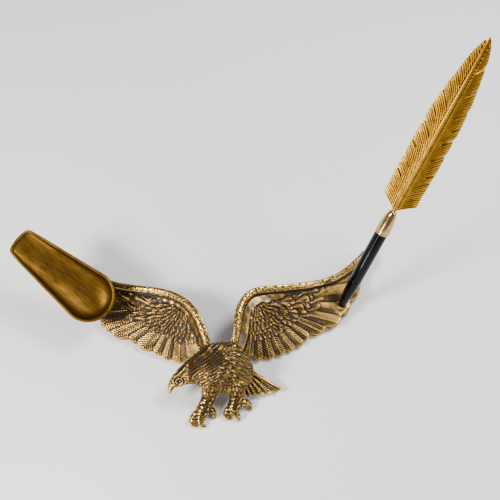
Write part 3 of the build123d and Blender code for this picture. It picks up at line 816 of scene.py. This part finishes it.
# the vane's edge: height along the pen, and half width
VANE_OUTLINE = ((97, 12.0), (118, 12.15), (138, 12.2), (158, 11.7), (176, 10.5), (192, 8.2), (206, 5.7),
                (214, 3.2), (219, 0.25))
VANE_THICK = 0.62  # half the thickness beside the quill
FOLD = radians(9.0)  # each half leans back from the quill by this
ROWS_ALONG, COLUMNS = 640, 20  # grid of each half
BARB_PITCH, LOCK_PITCH, TOOTH_PITCH = 1.9, 6.2, 2.6
# where the vane has split: side, height at the edge, depth as a share of the width, gap at the edge
SPLITS = ((-1, 128.0, 0.22, 0.3), (-1, 156.0, 0.30, 0.5), (-1, 178.5, 0.4, 0.6), (-1, 193.0, 0.3, 0.5),
          (1, 139.0, 0.2, 0.3), (1, 150.5, 0.16, 0.3), (1, 171.0, 0.12, 0.2), (1, 201.0, 0.2, 0.3))
# furrows where the barbs have parted without opening: side, height at the edge, depth as above
FURROWS = ((-1, 118, 0.5), (-1, 128, 0.6), (-1, 141, 0.45), (-1, 156, 0.75), (-1, 167, 0.5), (-1, 178.5, 0.8),
           (-1, 193, 0.7), (-1, 204, 0.5), (1, 112, 0.6), (1, 124, 0.4), (1, 139, 0.6), (1, 150.5, 0.5),
           (1, 160, 0.4), (1, 171, 0.6), (1, 186, 0.5), (1, 201, 0.6))


def vane_half(side):
    """Distance out, height and thickness of half a vane on a grid, and its cut cells."""
    outline = smooth_path(VANE_OUTLINE)
    s, q = np.meshgrid(np.linspace(0, 1, ROWS_ALONG), np.linspace(0, 1, COLUMNS), indexing="ij")
    quill = VANE_START + (VANE_TIP - VANE_START) * s
    edge = np.minimum(quill + (9.0 + 5.5 * smoothstep(s, 0.0, 0.25)) * (1 - s**6), VANE_TIP)
    tooth = hashed(np.floor(edge / TOOTH_PITCH), 4 + side)
    phase = np.mod(edge / TOOTH_PITCH, 1.0)
    out = np.interp(edge, outline[:, 0], outline[:, 1]) * (1 - 0.055 * tooth * (1 - phase) - 0.02 * phase)
    height = quill + (edge - quill) * q**0.85
    cuts = np.zeros((ROWS_ALONG - 1, COLUMNS - 1), dtype=bool)
    for _, at, depth, gap in (split for split in SPLITS if split[0] == side):
        apart = edge - at
        opened = smoothstep(q, 1 - depth, 1.0) * gap * np.exp(-np.abs(apart) / 5.0)
        height += np.where(apart > 0, 0.35, -0.65) * opened
        out *= 1 - 0.05 * bell(apart, 2.0)
        cuts[np.argmin(np.abs(edge[:, 0] - at)), int((1 - depth) * (COLUMNS - 1)) + 1:] = True
    wave = 0.6 * np.sin(edge / 9.0 + side) + 0.35 * np.sin(edge / 3.7)
    grooves = np.sin(2 * pi * (edge + 0.5 * wave * q) / BARB_PITCH)
    locks = np.abs(np.sin(pi * (edge + wave) / LOCK_PITCH)) ** 0.6
    beside_quill = 0.14 * bell(out * q - 1.5, 0.4)
    thick = VANE_THICK * (1 - 0.45 * q)
    thick = thick + 0.065 * grooves * smoothstep(q, 0.05, 0.2) + 0.16 * (locks - 0.6) * q
    for _, at, depth in (furrow for furrow in FURROWS if furrow[0] == side):
        across_it = bell(edge + 0.4 * wave * q - at, 0.55)
        thick -= 0.24 * across_it * smoothstep(q, 1 - depth, 1.1 - depth)
    return out * q, height, np.maximum(thick - beside_quill, 0.10), cuts


def build_feather():
    """One sheet from edge to edge, folded a little about the quill, and the tapered quill itself."""
    left, right = vane_half(-1), vane_half(1)
    # the halves share the column of points at the quill, but no column of cells
    out, height, thick = (np.hstack([a[:, ::-1], b[:, 1:]]) for a, b in zip(left[:3], right[:3]))
    cuts = np.hstack([left[3][:, ::-1], right[3]])
    sign = np.where(np.arange(out.shape[1]) < COLUMNS, -1, 1)
    sheets = [np.stack([sign * out * cos(FOLD), way * thick + out * sin(FOLD), height], axis=-1)
              for way in (-1, 1)]
    rows, columns = out.shape
    count = rows * columns
    faces = []
    for i, j in zip(*np.nonzero(~cuts)):
        a = i * columns + j
        faces.append((a, a + 1, a + columns + 1, a + columns))
    directed = {(f[k], f[(k + 1) % 4]) for f in faces for k in range(4)}
    rim = [(a, b) for a, b in directed if (b, a) not in directed]
    backs = [tuple(v + count for v in reversed(f)) for f in faces]
    walls = [(b, a, a + count, b + count) for a, b in sorted(rim)]
    points = np.concatenate([sheet.reshape(-1, 3) for sheet in sheets])
    vane = from_arrays("feather_vane", points, faces + backs + walls)
    quill = lathe("feather_quill", QUILL, 0.3, 40)
    for piece in (vane, quill):
        mark_relief(piece, 7.0, 1.6)
        piece.data.materials.append(GILT_BRASS)
        place(piece, pen_axes(), FOOT)
        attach(piece, "pen_barrel")
        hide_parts("feather")


# ---- pieces kept as the CAD has them ------------------------------------------
KEPT = {
    "wing_screws": SCREW_BRASS,
    "leg_studs": SCREW_BRASS,
    "scoop_screw": SCREW_BRASS,
    "scoop_washer": SCREW_BRASS,
    "thread_connector": SCREW_BRASS,
    "barrel_insert": SCREW_BRASS,
    "refill_point": REFILL_METAL,
    "refill_tube": REFILL_METAL,
}


def finish_kept():
    for node, material in KEPT.items():
        for slot in frame["nodes"][node].material_slots:
            slot.material = material


# ---- studio -------------------------------------------------------------------
FLOOR_REACH = 4000.0
NEUTRAL = (1, 1, 1)
CENTRE = (0, 20, 20)
# name, place, width, height, watts, colour and what it is aimed at
LIGHTS = (
    ("key", (-620, -300, 620), 240, 240, 13.0, (1.0, 0.975, 0.94), CENTRE),
    ("back", (430, 230, 760), 300, 300, 8.0, NEUTRAL, CENTRE),
    ("fill", (700, -250, 420), 260, 400, 2.8, (0.97, 0.985, 1.0), CENTRE),
    ("front", (-467, -463, 125), 200, 240, 1.5, (1.0, 0.97, 0.92), (80, 60, 110)),
    # a small panel close by, for the barrel's highlight
    ("edge", CHEST + (-139, -175, 24), 20, 40, 0.22, NEUTRAL, CHEST + (104, 71, 62)),
)
SKY, SKY_STRENGTH = (0.86, 0.88, 0.91, 1), 0.34
CAMERA_ANGLE, CAMERA_DISTANCE, CAMERA_LENS = radians(60.0), 704.0, 68.4
VIEW_CENTRE = CHEST + (20.0, 102.0, 0.0)


def build_floor():
    """A pale sheet the object lies on."""
    material, tree, shader, where = new_material("pale_floor")
    shade = ramp(tree, noise(tree, where, 3.0, 2.0), ((0.3, 0.80), (0.7, 0.83)))
    tree.links.new(shade, shader.inputs["Base Color"])
    shader.inputs["Roughness"].default_value = 0.85
    corners = [(x * FLOOR_REACH, y * FLOOR_REACH, 0) for x, y in ((-1, -1), (1, -1), (1, 1), (-1, 1))]
    floor = from_arrays("floor", corners, [(0, 1, 2, 3)])
    floor.data.materials.append(material)


def aim(obj, place_mm, target_mm):
    obj.location = Vector(place_mm) * MM
    towards = Vector(target_mm) - Vector(place_mm)
    obj.rotation_euler = towards.to_track_quat("-Z", "Y").to_euler()


def build_light(name, place_mm, width_mm, height_mm, watts, colour, target_mm):
    light = bpy.data.lights.new(name, "AREA")
    light.shape = "RECTANGLE"
    light.size, light.size_y = width_mm * MM, height_mm * MM
    light.energy, light.color = watts, colour
    aim(link(bpy.data.objects.new(name, light)), place_mm, target_mm)


def build_studio():
    """The floor, the lights and the camera, which looks down as the photograph does."""
    build_floor()
    for light in LIGHTS:
        build_light(*light)
    world = bpy.data.worlds.new("studio")
    bpy.context.scene.world = world
    world.use_nodes = True
    background = world.node_tree.nodes["Background"].inputs
    background["Color"].default_value = SKY
    background["Strength"].default_value = SKY_STRENGTH
    camera = bpy.data.cameras.new("camera")
    camera.lens, camera.sensor_width = CAMERA_LENS, 36.0
    camera.clip_start, camera.clip_end = 0.01, 20.0
    holder = link(bpy.data.objects.new("camera", camera))
    away = CAMERA_DISTANCE * np.array((0, -cos(CAMERA_ANGLE), sin(CAMERA_ANGLE)))
    aim(holder, VIEW_CENTRE + away, VIEW_CENTRE)
    bpy.context.scene.camera = holder


for wing_name in ("left_wing", "right_wing"):
    sculpt_wing(wing_name)
sculpt_body()
for leg_name in ("left_leg", "right_leg"):
    sculpt_leg(leg_name)
sculpt_tail()
build_scoop()
build_pen()
build_feather()
finish_kept()
build_studio()
